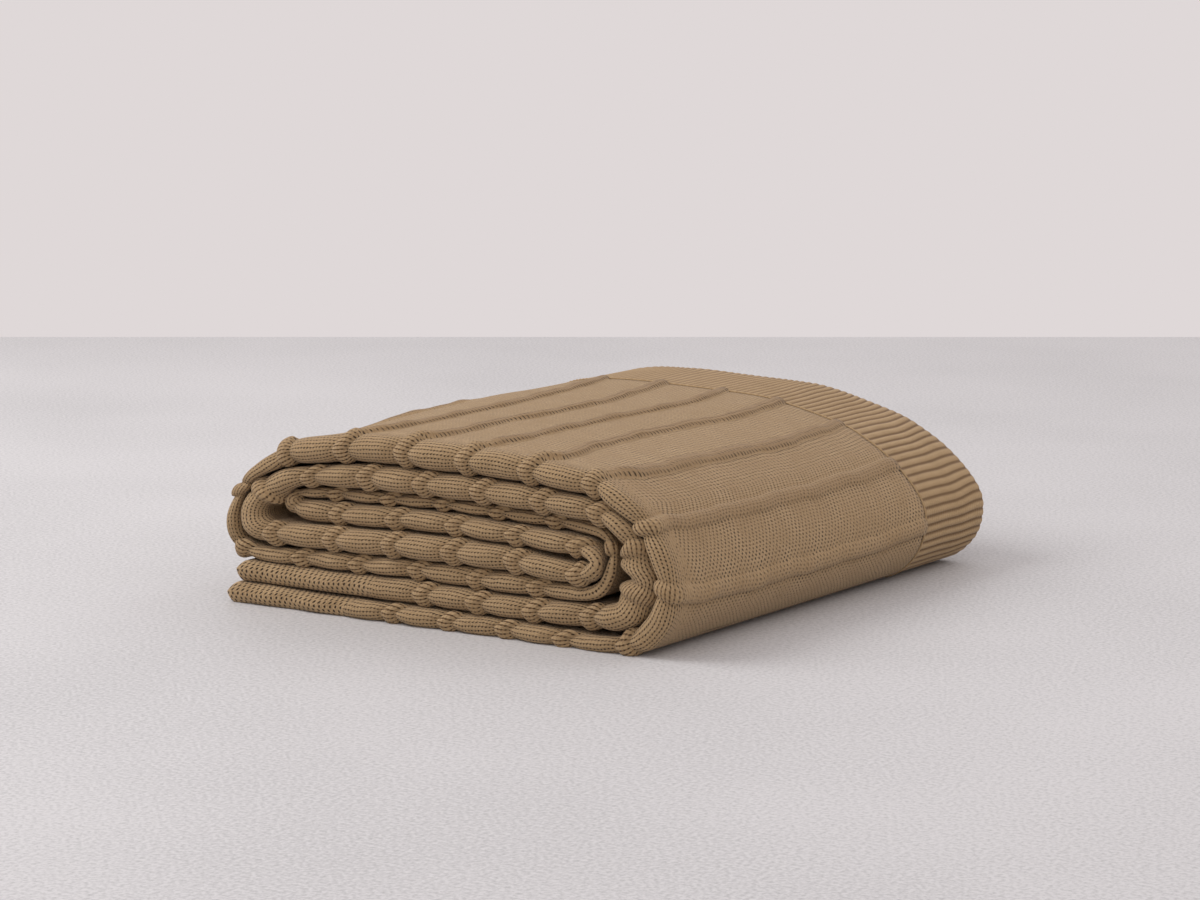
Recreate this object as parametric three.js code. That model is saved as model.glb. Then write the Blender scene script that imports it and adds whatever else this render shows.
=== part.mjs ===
// Knitted throw blanket, folded. Millimetres, Z up. X runs along the front from left to right, Y from the
// front to the back. The long cloth is doubled along its length, with that fold to the front, and the
// doubled cloth then lies in eight layers, folded back and forth and wrapped round itself.
import * as THREE from 'three';

// The knit
const plyThickness = 5.2;
const plyShare = 0.42; // most that one ply takes of a layer squeezed thin
const bandWidth = 80; // ribbed band along each long edge of the cloth
const seamGap = 0.4;
const tanYarn = 0xa08a68;
const bandYarn = 0x9a8461;

// The fold at the front that doubles the cloth
const frontLine = -185;
const noseShare = 0.58; // how far back the rounding of the fold reaches, as a share of the layer's thickness
const noseTurns = [0, 30, 60, 90, 120, 150, 180]; // degrees round the fold, from the left ply to the right
const restLine = -40; // where welts pressed between the layers have faded out

// Raised tubular welts across the cloth
const weltWidth = 10;
const weltTop = 4; // width of the welt's flat crown
const weltOpen = 2.8; // height on faces that lie open
const weltPressed = 0.35; // height between the layers
const weltNose = 3.4; // height at the front fold
const pillow = 1.1; // how far the fold swells between two welts

// How the heap settles toward its back. Limits are the x, and heights the z, between which an effect sets in
// or fades out.
const backLine = 185;
const pileHeight = 110;
const sinkLeft = 0.4; // drop of the top's left end at the back
const sink = 2.2; // further drop of its middle
const sinkLimits = [-90, -20];
const sinkRight = 9.5; // further drop toward the right edge
const sinkRightLimits = [40, 125];
const spread = 13; // how far the lower right swells out
const spreadLimits = [60, 145];
const spreadHeights = [45, 95];
const edgeWaves = [[-130, 50, 3.4], [25, 35, -1.2]]; // in the top's left edge: depth, reach and drop of each
const edgeLimits = [-100, -60];
const edgeHeights = [80, 95];

// Layers in the order in which the cloth runs. left and right are where the folds at its ends begin. under
// and over are the heights of its two faces at its left end, quarters and right end. The rest, in pairs, are
// values at its left and right ends: front is how far the fold stands out past the front line, back is where
// the cloth's edges end, and askew is how far the back has slid along the cloth. welt is the x of one welt
// and pitch is how far apart they are.
const layers = [
  {
    heading: 1, left: -144.5, right: 112, front: [4, 1], back: [184, 182], askew: [0, 0],
    welt: 27.3, pitch: 39.4,
    under: [13.2, 12.7, 12.6, 11.9, 12.2], over: [26, 25.3, 26.3, 24.8, 26.6],
  },
  {
    heading: -1, left: -108, right: 108, front: [0, 0], back: [192, 190], askew: [0, 0],
    welt: 29, pitch: 42,
    under: [74.6, 77.7, 78, 77, 74], over: [87, 92.7, 92.6, 91.4, 87.6],
  },
  {
    heading: 1, left: -126, right: 98, front: [3, 2], back: [190, 188], askew: [0, 0],
    welt: 9, pitch: 44.5,
    under: [38.3, 38.6, 39.4, 39.6, 37.4], over: [52.3, 53.2, 54.6, 54.4, 49.6],
  },
  {
    heading: -1, left: -104, right: 98, front: [-3, 0], back: [186, 184], askew: [0, 0],
    welt: 9, pitch: 43.8,
    under: [54.4, 55, 56.6, 55.6, 53.5], over: [66.6, 67.6, 68.6, 67, 64.8],
  },
  {
    heading: 1, left: -102, right: 106, front: [-8, -8], back: [184, 186], askew: [0, 0],
    welt: -4, pitch: 40,
    under: [68.1, 69.1, 70.1, 68.4, 66], over: [73.6, 76, 76.3, 75.3, 72.4],
  },
  {
    heading: -1, left: -142, right: 104, front: [1, -2], back: [186, 184], askew: [0, 0],
    welt: 24.7, pitch: 43.2,
    under: [27.4, 26.7, 27.7, 26.2, 28.3], over: [36.6, 37, 37.9, 38.2, 36],
  },
  {
    heading: 1, left: -112, right: 112, front: [0, 0], back: [206, 194], askew: [20, 6],
    welt: 18, pitch: 44.7,
    under: [88.5, 94.2, 93.8, 92.9, 88.6], over: [104, 111, 111, 108.5, 101.5],
  },
  {
    heading: -1, left: -149, right: 128, front: [8, 2], back: [176, 172], askew: [0, 0],
    welt: 48.5, pitch: 40.7,
    under: [0, 0, 0, 0, 0], over: [12.6, 11.3, 11.3, 10.5, 10],
  },
];

// Folds from each layer to the next, as x and z across the front. The points of outer and inner face each
// other. A fold that turns left has its inner face on the left of the run. welts are places along the fold,
// from 0 at its start to 1 at its end. open tells that its outer face shows.
const folds = [
  {
    turnsLeft: true, open: false, welts: [0.36, 0.64, 0.97],
    outer: [[128, 13.2], [141, 19], [149.5, 29], [152, 42], [150, 54], [143.5, 66], [132, 77.5], [120, 84.6]],
    inner: [[120, 27.4], [126.5, 30], [125, 37], [134, 45.2], [125.4, 52], [130, 60], [128.5, 67], [119, 72]],
  },
  {
    turnsLeft: true, open: false, welts: [0.4],
    outer: [[-126, 81.5], [-137.5, 75], [-146, 66], [-150, 55.5], [-148.5, 45.5], [-140, 39.6]],
    inner: [[-116, 69.8], [-124.8, 66.8], [-130.2, 62.3], [-132, 58], [-130.6, 54.9], [-127.6, 53]],
  },
  {
    turnsLeft: true, open: false, welts: [],
    outer: [[107, 38.6], [113.8, 43], [116.6, 50], [115, 57.3], [108.5, 62.8]],
    inner: [[103, 50.2], [108, 50.8], [111, 52], [108, 53.2], [103, 53.5]],
  },
  {
    turnsLeft: false, open: false, welts: [0.5],
    outer: [[-112, 57], [-117.5, 62], [-116.5, 68], [-110, 71.8]],
    inner: [[-107, 66.7], [-108, 67.1], [-108, 67.6], [-106.5, 67.9]],
  },
  {
    turnsLeft: false, open: false, welts: [0.3],
    outer: [[114.5, 70], [121, 63], [123.2, 52], [121, 41], [115.5, 32.6]],
    inner: [[112, 65], [117.3, 59.4], [118.2, 50.5], [115.5, 42], [109.5, 37.3]],
  },
  {
    turnsLeft: false, open: true, welts: [0.08, 0.5, 0.965],
    outer: [[-152, 29.5], [-158.5, 36.5], [-161, 48], [-158.5, 61], [-150.5, 75], [-138.5, 85.5],
      [-125.5, 95.5]],
    inner: [[-148.6, 40.2], [-151.2, 46.7], [-151.7, 55], [-148.6, 65], [-140.5, 74.6], [-130.2, 81.4],
      [-120.3, 85.4]],
  },
  {
    turnsLeft: false, open: true, welts: [0.3, 0.6, 0.965],
    outer: [[128, 94.5], [143, 84.5], [155.5, 70], [163.5, 54.5], [166, 38.5], [162, 20], [150, 5.5],
      [138, 0.6]],
    inner: [[121, 85.9], [133.5, 78.3], [144.9, 66.8], [151.8, 54], [153.4, 42], [150.9, 28.3], [142.3, 17.8],
      [134, 13.4]],
  },
];
const openAbove = 8; // height over which the outer face of an open fold shows
const plainEnds = 112; // the cloth's two ends are a plain close knit with no welts

// Rounded ends of the cloth, past the left ends of the two lowest layers
const tipReach = 7;
const tipTurns = [35, 60, 78]; // degrees round the tip
const tipPowers = [0.85, 0.75]; // below 1 they make the tip blunter than an ellipse, along it and across it
const cornerRadius = 9; // of both corners of each tip, seen from above

// Steps of the swept section
const bendStep = 12; // most degrees that the cloth turns from one section to the next
const bandStep = 26; // most millimetres between two sections of a band
const leastStep = 1.4;

function smooth(low, high, value) {
  const t = Math.min(1, Math.max(0, (value - low) / (high - low)));
  return t * t * (3 - 2 * t);
}

// Knots of the run, each with its left and right face in the direction in which the cloth runs
function knot(left, right, front, back, askew, open) {
  return { left, right, front, back, askew, open };
}

// The top layer, the only one that lies askew, is also the only one whose left face shows
function layerKnots(layer) {
  const open = layer.askew[0] > 0 ? 1 : 0;
  const knots = layer.under.map((under, i) => {
    const share = i / (layer.under.length - 1);
    const mix = (pair) => THREE.MathUtils.lerp(pair[0], pair[1], share);
    const x = mix([layer.left, layer.right]);
    const low = [x, under];
    const high = [x, layer.over[i]];
    return layer.heading > 0
      ? knot(high, low, mix(layer.front), mix(layer.back), mix(layer.askew), open)
      : knot(low, high, mix(layer.front), mix(layer.back), mix(layer.askew), open);
  });
  return layer.heading > 0 ? knots : knots.reverse();
}

function foldKnots(fold, before, after) {
  return fold.outer.map((outer, i) => {
    const share = (i + 1) / (fold.outer.length + 1);
    const mix = (name) => THREE.MathUtils.lerp(before[name], after[name], share);
    const inner = fold.inner[i];
    const open = fold.open && outer[1] > openAbove ? 1 : 0;
    return fold.turnsLeft
      ? knot(inner, outer, mix('front'), mix('back'), mix('askew'), open)
      : knot(outer, inner, mix('front'), mix('back'), mix('askew'), open);
  });
}

// The cloth's end rounds off past the last knot of its layer
function tipKnots(end) {
  const x = end.left[0];
  const mid = (end.left[1] + end.right[1]) / 2;
  const half = (end.left[1] - end.right[1]) / 2;
  return tipTurns.map((degrees) => {
    const turn = THREE.MathUtils.degToRad(degrees);
    const out = x - tipReach * Math.sin(turn) ** tipPowers[0];
    const rise = half * Math.cos(turn) ** tipPowers[1];
    return knot([out, mid + rise], [out, mid - rise], end.front, end.back, 0, 0);
  });
}

// All knots in order, with where each layer and each fold starts and ends among them
function threadRun() {
  const runs = layers.map(layerKnots);
  const knots = tipKnots(runs[0][0]).reverse();
  const spans = [];
  runs.forEach((run, i) => {
    spans.push({ layer: layers[i], from: knots.length, to: knots.length + run.length - 1 });
    knots.push(...run);
    if (i < folds.length) {
      const bend = foldKnots(folds[i], run[run.length - 1], runs[i + 1][0]);
      spans.push({ fold: folds[i], from: knots.length - 1, to: knots.length + bend.length });
      knots.push(...bend);
    }
  });
  knots.push(...tipKnots(knots[knots.length - 1]));
  return { knots, spans };
}

const { knots, spans } = threadRun();
const curveOf = (pick) => new THREE.CatmullRomCurve3(knots.map(pick), false, 'centripetal');
const leftFace = curveOf((k) => new THREE.Vector3(k.left[0], 0, k.left[1]));
const rightFace = curveOf((k) => new THREE.Vector3(k.right[0], 0, k.right[1]));
const halfway = (k, axis) => (k.left[axis] + k.right[axis]) / 2;
const middle = curveOf((k) => new THREE.Vector3(halfway(k, 0), 0, halfway(k, 1)));
const edgeLines = new THREE.CatmullRomCurve3(knots.map((k) => new THREE.Vector3(k.front, k.back, k.askew)));
middle.arcLengthDivisions = 4000;
const runLength = middle.getLength();
const lengths = middle.getLengths();

// Distance along the run of a place between two knots
function distanceOf(knotIndex) {
  const place = (knotIndex / (knots.length - 1)) * (lengths.length - 1);
  const low = Math.min(Math.floor(place), lengths.length - 2);
  return THREE.MathUtils.lerp(lengths[low], lengths[low + 1], place - low);
}

// Centres of all welts, as distances along the run
function weltCentres() {
  const centres = [];
  for (const span of spans) {
    const start = distanceOf(span.from);
    const end = distanceOf(span.to);
    if (span.fold) {
      centres.push(...span.fold.welts.map((share) => THREE.MathUtils.lerp(start, end, share)));
      continue;
    }
    const { left, right, welt, pitch, heading } = span.layer;
    const first = Math.ceil((left - welt) / pitch);
    for (let i = first; welt + i * pitch <= right; i += 1) {
      const share = (welt + i * pitch - left) / (right - left);
      const place = THREE.MathUtils.lerp(start, end, heading > 0 ? share : 1 - share);
      centres.push(place);
    }
  }
  centres.sort((a, b) => a - b);
  return centres.filter((place) => place > plainEnds && place < runLength - plainEnds);
}

const welts = weltCentres();

function nearestWelt(distance) {
  return Math.min(...welts.map((centre) => Math.abs(centre - distance)));
}

// 1 on the crown of a welt, 0 off it
function weltShare(distance) {
  return 1 - smooth(weltTop / 2, weltWidth / 2, nearestWelt(distance));
}

// Where on the run a point at depth y lies: a layer that lies askew has slid along itself toward the back
function slide(distance, y) {
  const t = middle.getUtoTmapping(0, distance);
  const askew = edgeLines.getPoint(t).z;
  const share = (y - frontLine) / (backLine - frontLine);
  return THREE.MathUtils.clamp(distance - askew * share, 0, runLength);
}

// How far the front fold and the back edges draw back to round off the corners at both ends of the run
function cornerAt(distance) {
  const past = Math.max(0, cornerRadius - Math.min(distance, runLength - distance));
  return cornerRadius - Math.sqrt(cornerRadius ** 2 - past ** 2);
}

// The section of the run at a distance: its two faces, its thickness and the way from right to left
function sectionAt(distance) {
  const t = middle.getUtoTmapping(0, distance);
  const left = leftFace.getPoint(t);
  const right = rightFace.getPoint(t);
  const across = left.clone().sub(right);
  const thickness = across.length();
  const edges = edgeLines.getPoint(t);
  const place = t * (knots.length - 1);
  const low = Math.min(Math.floor(place), knots.length - 2);
  const open = THREE.MathUtils.lerp(knots[low].open, knots[low + 1].open, place - low);
  const corner = cornerAt(distance);
  const front = edges.x - corner;
  const back = edges.y - corner;
  const seam = edges.y - bandWidth;
  return { left, right, across: across.normalize(), thickness, front, seam, back, open };
}

// The heap settles toward its back: the top sinks, the more so at the right, where the sides swell
function settle(point) {
  const share = (point.y - frontLine) / (backLine - frontLine);
  const sinkHere = sinkLeft + sink * smooth(...sinkLimits, point.x);
  const slope = sinkHere + sinkRight * smooth(...sinkRightLimits, point.x);
  const drop = slope * (point.z / pileHeight);
  const swell = spread * smooth(...spreadLimits, point.x) * (1 - smooth(...spreadHeights, point.z));
  let dip = 0;
  for (const [depth, reach, height] of edgeWaves) {
    dip += height * Math.exp(-(((point.y - depth) / reach) ** 2));
  }
  dip *= (1 - smooth(...edgeLimits, point.x)) * smooth(...edgeHeights, point.z);
  point.z = Math.max(0, point.z - drop * share - dip);
  point.x += swell * share;
  return point;
}

// A point of the cloth: inset is how far it lies inside the left face, y its depth, and raise lifts it out
function clothPoint(distance, y, insetOf, raise) {
  const section = sectionAt(slide(distance, y));
  const inset = insetOf(section);
  const point = section.left.clone().addScaledVector(section.across, raise - inset);
  point.y = y;
  return settle(point);
}

const plyOf = (section) => Math.min(plyThickness, plyShare * section.thickness);

// One closed section of the doubled panel: round the outside from the left ply's edge over the front fold
// to the right ply's edge, then back round the inside
function panelRing(distance) {
  const here = sectionAt(distance);
  const welt = weltShare(distance);
  const swell = pillow * smooth(weltWidth / 2, weltWidth * 2, nearestWelt(distance));
  const seam = here.seam - seamGap;
  const nose = frontLine - here.front;
  const openHeight = THREE.MathUtils.lerp(weltPressed, weltOpen, here.open);
  const depth = noseShare * here.thickness;
  const ply = plyOf(here);
  const leftSide = () => 0;
  const rightSide = (section) => section.thickness;
  const points = [];
  points.push(clothPoint(distance, seam, leftSide, here.open * weltOpen * welt));
  points.push(clothPoint(distance, restLine, leftSide, here.open * weltOpen * welt));
  for (const degrees of noseTurns) {
    const turn = THREE.MathUtils.degToRad(degrees);
    const faceHeight = degrees <= 90 ? openHeight : weltPressed;
    const round = Math.sin(turn) ** 2;
    const height = welt * THREE.MathUtils.lerp(faceHeight, weltNose, round) + swell * round;
    const y = nose + depth * (1 - Math.sin(turn)) - height * Math.sin(turn);
    const raise = height * Math.cos(turn);
    points.push(clothPoint(distance, y, (section) => section.thickness * (1 - Math.cos(turn)) / 2, raise));
  }
  points.push(clothPoint(distance, restLine, rightSide, 0));
  points.push(clothPoint(distance, seam, rightSide, 0));
  points.push(clothPoint(distance, seam, (section) => section.thickness - plyOf(section), 0));
  points.push(clothPoint(distance, nose + depth, (section) => section.thickness - plyOf(section), 0));
  points.push(clothPoint(distance, nose + ply, (section) => section.thickness / 2, 0));
  points.push(clothPoint(distance, nose + depth, plyOf, 0));
  points.push(clothPoint(distance, seam, plyOf, 0));
  return points;
}

// One closed section of a ribbed band, on the left or the right ply
function bandRing(distance, onLeft) {
  const here = sectionAt(distance);
  const outside = (section) => (onLeft ? 0 : section.thickness);
  const inside = (section) => (onLeft ? plyOf(section) : section.thickness - plyOf(section));
  const points = [
    clothPoint(distance, here.seam, outside, 0),
    clothPoint(distance, here.seam, inside, 0),
    clothPoint(distance, here.back, inside, 0),
    clothPoint(distance, here.back, outside, 0),
  ];
  return onLeft ? points : points.reverse();
}

// Stations along the run: the given ones, and more wherever the cloth turns too far in one step
function withBends(places) {
  const sorted = [...places].sort((a, b) => a - b);
  const stations = [sorted[0]];
  for (const next of sorted.slice(1)) {
    const last = stations[stations.length - 1];
    if (next - last < leastStep) {
      continue;
    }
    const turned = sectionAt(last).across.angleTo(sectionAt(next).across);
    const parts = Math.max(1, Math.ceil(THREE.MathUtils.radToDeg(turned) / bendStep));
    for (let i = 1; i <= parts; i += 1) {
      stations.push(THREE.MathUtils.lerp(last, next, i / parts));
    }
  }
  return stations;
}

function panelStations() {
  const places = [0, runLength];
  for (let i = 1; i <= tipTurns.length; i += 1) {
    places.push(distanceOf(i), distanceOf(knots.length - 1 - i));
  }
  for (const span of spans) {
    places.push(distanceOf(span.from), distanceOf(span.to));
  }
  welts.forEach((centre, i) => {
    places.push(centre - weltWidth / 2, centre - weltTop / 2, centre + weltTop / 2, centre + weltWidth / 2);
    if (i > 0) {
      places.push((centre + welts[i - 1]) / 2);
    }
  });
  return withBends(places);
}

// A band keeps the panel's stations in the folds and at both tips, and fewer where the layers lie flat
function bandStations(stations) {
  const stretch = (from, to) => [distanceOf(from) - leastStep, distanceOf(to) + leastStep];
  const bends = spans.filter((span) => span.fold).map((span) => stretch(span.from, span.to));
  bends.push(stretch(0, tipTurns.length), stretch(knots.length - 1 - tipTurns.length, knots.length - 1));
  const inBend = (place) => bends.some(([start, end]) => place > start && place < end);
  const kept = [stations[0]];
  for (const place of stations.slice(1, -1)) {
    if (inBend(place) || place - kept[kept.length - 1] > bandStep) {
      kept.push(place);
    }
  }
  kept.push(stations[stations.length - 1]);
  return kept;
}

// Closed skin through a row of rings. Both end rings stand upright along Y, where they are capped.
function loft(rings) {
  const size = rings[0].length;
  const positions = rings.flat().flatMap((p) => [p.x, p.y, p.z]);
  const indices = [];
  for (let i = 0; i + 1 < rings.length; i += 1) {
    for (let j = 0; j < size; j += 1) {
      const a = i * size + j;
      const b = i * size + ((j + 1) % size);
      indices.push(a, b, a + size, b, b + size, a + size);
    }
  }
  const addCap = (start, ring, flip) => {
    const flat = ring.map((p) => new THREE.Vector2(p.y, p.z));
    const clockwise = THREE.ShapeUtils.isClockWise(flat);
    for (const [a, b, c] of THREE.ShapeUtils.triangulateShape(flat, [])) {
      const order = clockwise === flip ? [a, c, b] : [a, b, c];
      indices.push(...order.map((i) => start + i));
    }
  };
  addCap(0, rings[0], false);
  addCap((rings.length - 1) * size, rings[rings.length - 1], true);
  const geometry = new THREE.BufferGeometry();
  geometry.setAttribute('position', new THREE.Float32BufferAttribute(positions, 3));
  geometry.setIndex(indices);
  geometry.computeVertexNormals();
  return geometry;
}

function knitMesh(name, geometry, colour) {
  const material = new THREE.MeshStandardMaterial({ color: colour, roughness: 0.95, metalness: 0 });
  const mesh = new THREE.Mesh(geometry, material);
  mesh.name = name;
  return mesh;
}

const stationsOfPanel = panelStations();
const stationsOfBand = bandStations(stationsOfPanel);
const throwBlanket = new THREE.Group();
throwBlanket.add(
  knitMesh('knit_panel', loft(stationsOfPanel.map(panelRing)), tanYarn),
  knitMesh('rib_band_outer', loft(stationsOfBand.map((place) => bandRing(place, true))), bandYarn),
  knitMesh('rib_band_inner', loft(stationsOfBand.map((place) => bandRing(place, false))), bandYarn),
);

// The origin lies at the middle of the part's box, on the surface that it rests on
const bounds = new THREE.Box3().setFromObject(throwBlanket);
const centre = bounds.getCenter(new THREE.Vector3());
for (const mesh of throwBlanket.children) {
  mesh.geometry.translate(-centre.x, -centre.y, -bounds.min.z);
}

export default throwBlanket;
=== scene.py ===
# Knitted throw blanket, folded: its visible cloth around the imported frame. Objects are in metres.
# The folding tables and the dictionaries' lengths are in millimetres, with X along the front from
# left to right and Y from the front to the back, and mm turns them to metres.
import math

import bpy
import numpy as np
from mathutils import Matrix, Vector


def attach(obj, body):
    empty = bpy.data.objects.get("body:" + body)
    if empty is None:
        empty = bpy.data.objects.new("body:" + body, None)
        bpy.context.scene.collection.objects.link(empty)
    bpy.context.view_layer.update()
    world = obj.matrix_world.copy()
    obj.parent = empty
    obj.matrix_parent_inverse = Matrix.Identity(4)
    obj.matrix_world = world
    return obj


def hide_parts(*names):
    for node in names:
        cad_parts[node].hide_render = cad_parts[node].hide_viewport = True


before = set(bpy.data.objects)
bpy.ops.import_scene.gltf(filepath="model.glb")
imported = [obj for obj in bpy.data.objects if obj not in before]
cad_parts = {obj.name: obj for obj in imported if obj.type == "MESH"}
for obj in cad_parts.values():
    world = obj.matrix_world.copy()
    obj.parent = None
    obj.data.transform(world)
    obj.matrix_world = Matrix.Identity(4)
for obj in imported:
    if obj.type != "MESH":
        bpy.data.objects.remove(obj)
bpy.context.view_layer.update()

mm = 0.001

# Camera: looks from the front, well to the right, a little above the heap. Metres and degrees, and
# the lens and its sensor in millimetres.
view = {
    "target": (-0.12534, 0.16412, 0.05),
    "azimuth": 33.3008,
    "elevation": 9.0,
    "distance": 2.25006,
    "lens": 96.0,
    "sensor": 36.0,
    "clipEnd": 50,
}


def makeCamera():
    azimuth = math.radians(view["azimuth"])
    elevation = math.radians(view["elevation"])
    back = Vector((
        math.sin(azimuth) * math.cos(elevation),
        -math.cos(azimuth) * math.cos(elevation),
        math.sin(elevation),
    ))
    data = bpy.data.cameras.new("photoCamera")
    data.lens = view["lens"]
    data.sensor_width = view["sensor"]
    data.clip_end = view["clipEnd"]
    camera = bpy.data.objects.new("photoCamera", data)
    camera.location = Vector(view["target"]) + back * view["distance"]
    camera.rotation_mode = "QUATERNION"
    camera.rotation_quaternion = (-back).to_track_quat("-Z", "Y")
    bpy.context.scene.collection.objects.link(camera)
    bpy.context.scene.camera = camera
    print("camera placed")


def linearColour(code):  # sRGB hex to the linear colour that the shader takes
    parts = [int(code[i:i + 2], 16) / 255 for i in (1, 3, 5)]
    linear = [p / 12.92 if p <= 0.04045 else ((p + 0.055) / 1.055) ** 2.4 for p in parts]
    return (*linear, 1.0)


def addNode(tree, kind, inputs=None, output=0, **settings):  # one node with values and links
    node = tree.nodes.new("ShaderNode" + kind)
    for name, value in settings.items():
        setattr(node, name, value)
    for key, value in (inputs or {}).items():
        if isinstance(value, bpy.types.NodeSocket):
            tree.links.new(value, node.inputs[key])
        else:
            node.inputs[key].default_value = value
    return node.outputs[output]


def waveOf(tree, cycles):  # cosine of so many whole turns
    turn = addNode(tree, "Math", {0: cycles, 1: 2 * math.pi}, operation="MULTIPLY")
    return addNode(tree, "Math", {0: turn}, operation="COSINE")


def newMaterial(name):
    material = bpy.data.materials.new(name)
    material.use_nodes = True
    tree = material.node_tree
    return material, tree, tree.nodes["Principled BSDF"]


def tonedColour(tree, tone, look):  # darker to lighter colour between two limits of the tone
    low, high = look["tones"]
    share = addNode(tree, "MapRange", {"Value": tone, "From Min": low, "From Max": high})
    return addNode(tree, "Mix", {"Factor": share, 6: linearColour(look["darker"]),
                                 7: linearColour(look["lighter"])}, output=2, data_type="RGBA")


def finishMaterial(tree, shader, colour, height, look):  # colour, relief and surface values
    tree.links.new(colour, shader.inputs["Base Color"])
    depth, strength = look["relief"]
    bump = addNode(tree, "Bump", {"Height": height, "Distance": depth * mm, "Strength": strength})
    tree.links.new(bump, shader.inputs["Normal"])
    for name, value in look["surface"].items():
        shader.inputs[name].default_value = value


# Combed cotton yarn, softly spun: matt, uneven in tone, with a little sheen from its fine fibres
cotton = {
    "patch": 16.667,  # size of the paler and darker patches
    "patchShare": 0.6,  # how much they count beside the fibres
    "fibre": 1.1111,  # real fibres are far finer: these are as coarse as they need to be to show
    "surface": {"Roughness": 0.93, "Sheen Weight": 0.1, "Sheen Roughness": 0.5,
                "Specular IOR Level": 0.15},
}


def cottonTone(tree, place):  # the patches, the fibres, and both added up
    patches = addNode(tree, "TexNoise", {"Vector": place, "Scale": 1 / (cotton["patch"] * mm),
                                         "Detail": 5.0})
    fibres = addNode(tree, "TexNoise", {"Vector": place, "Scale": 1 / (cotton["fibre"] * mm),
                                        "Detail": 3.0})
    tone = addNode(tree, "Math", {0: patches, 1: cotton["patchShare"], 2: fibres},
                   operation="MULTIPLY_ADD")
    return patches, fibres, tone


# The cotton knitted on a flat bed as plain jersey: soft light loops in lines along the cloth, with
# small holes between them that open where the cloth bends, the shade in them painted dark. Its
# first and last hand's breadth are moss stitch.
jersey = {
    "stitch": 2.3,  # one loop along the cloth
    "wale": 2.1,  # from one line of loops to the next
    "waleShare": 1.25,  # how much the lines count beside the loops in laying out the holes
    "slant": 0.38,  # how far a hole lies past the one in the next line, in stitches
    "flatStitch": 2.8,  # on flat cloth holes lie where two sets of lines cross, leaning both ways
    "flatWale": 3.75,
    "flatLean": 5.5,  # one set leans back by a line in this length, down the heap's right side
    "flatFrom": 1985,  # which starts so far along the run
    "mossStitch": 3.7,
    "mossWale": 4.8,
    "stray": (7.1429, 1.3),  # over what length the lines stray, and between what limits
    "mottle": 2.381,  # over what length the holes differ in size
    "lineMottle": (0.05, 0.8, 1.0),  # and from line to line: turns for each stitch and each line
    "holeStart": (2.0, 2.3),  # height of the waves where a hole starts, on the flat and in a bend
    "wider": {"mottle": -1.2, "line": -1.1, "foot": -0.35},  # how much lower where holes are wide
    "holeEdge": (0.0, 0.7),
    "mossEdge": (0.2, 0.85),
    "grooveEdge": (0.35, 1.0),
    "legLean": -0.9,  # stitches by which a leg of a loop leans toward its line's middle
    "tones": (0.62, 0.98),
    # painted shade between the lines where the cloth bends, patchy
    "linePatches": (0.42, 0.62, 0.1, 0.5),  # tone of the patches, and how dark the lines are there
    # painted shade in the grooves over a welt round the front fold
    "ringShade": 0.6,
    # painted shade on the welts of the heap's outside
    "ridgeShadeShare": 0.7,
    # painted shade in the holes: how dark it is, patchy on flat cloth, in a bend, and on a welt
    "holeShadePatches": (0.38, 0.62, 0.5, 1.0),  # tone of the patches, and how dark the holes are there
    "bendHole": 0.97,
    "weltHole": 0.65,  # share that is left of the holes on a welt
    "heights": {"crease": -0.5, "hole": -0.9, "leg": 0.14, "fibre": 0.3},  # in shares of the relief
    "relief": (0.7, 0.9),  # depth and strength
    "darker": "#997f5d",
    "lighter": "#ac926f",
    # painted shade: colour of the shade in the grooves and on the outside welts
    "groove": "#6f5335",
    # painted shade: colour of the shade inside the holes
    "hole": "#20150b",
    "surface": cotton["surface"],
}


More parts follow.
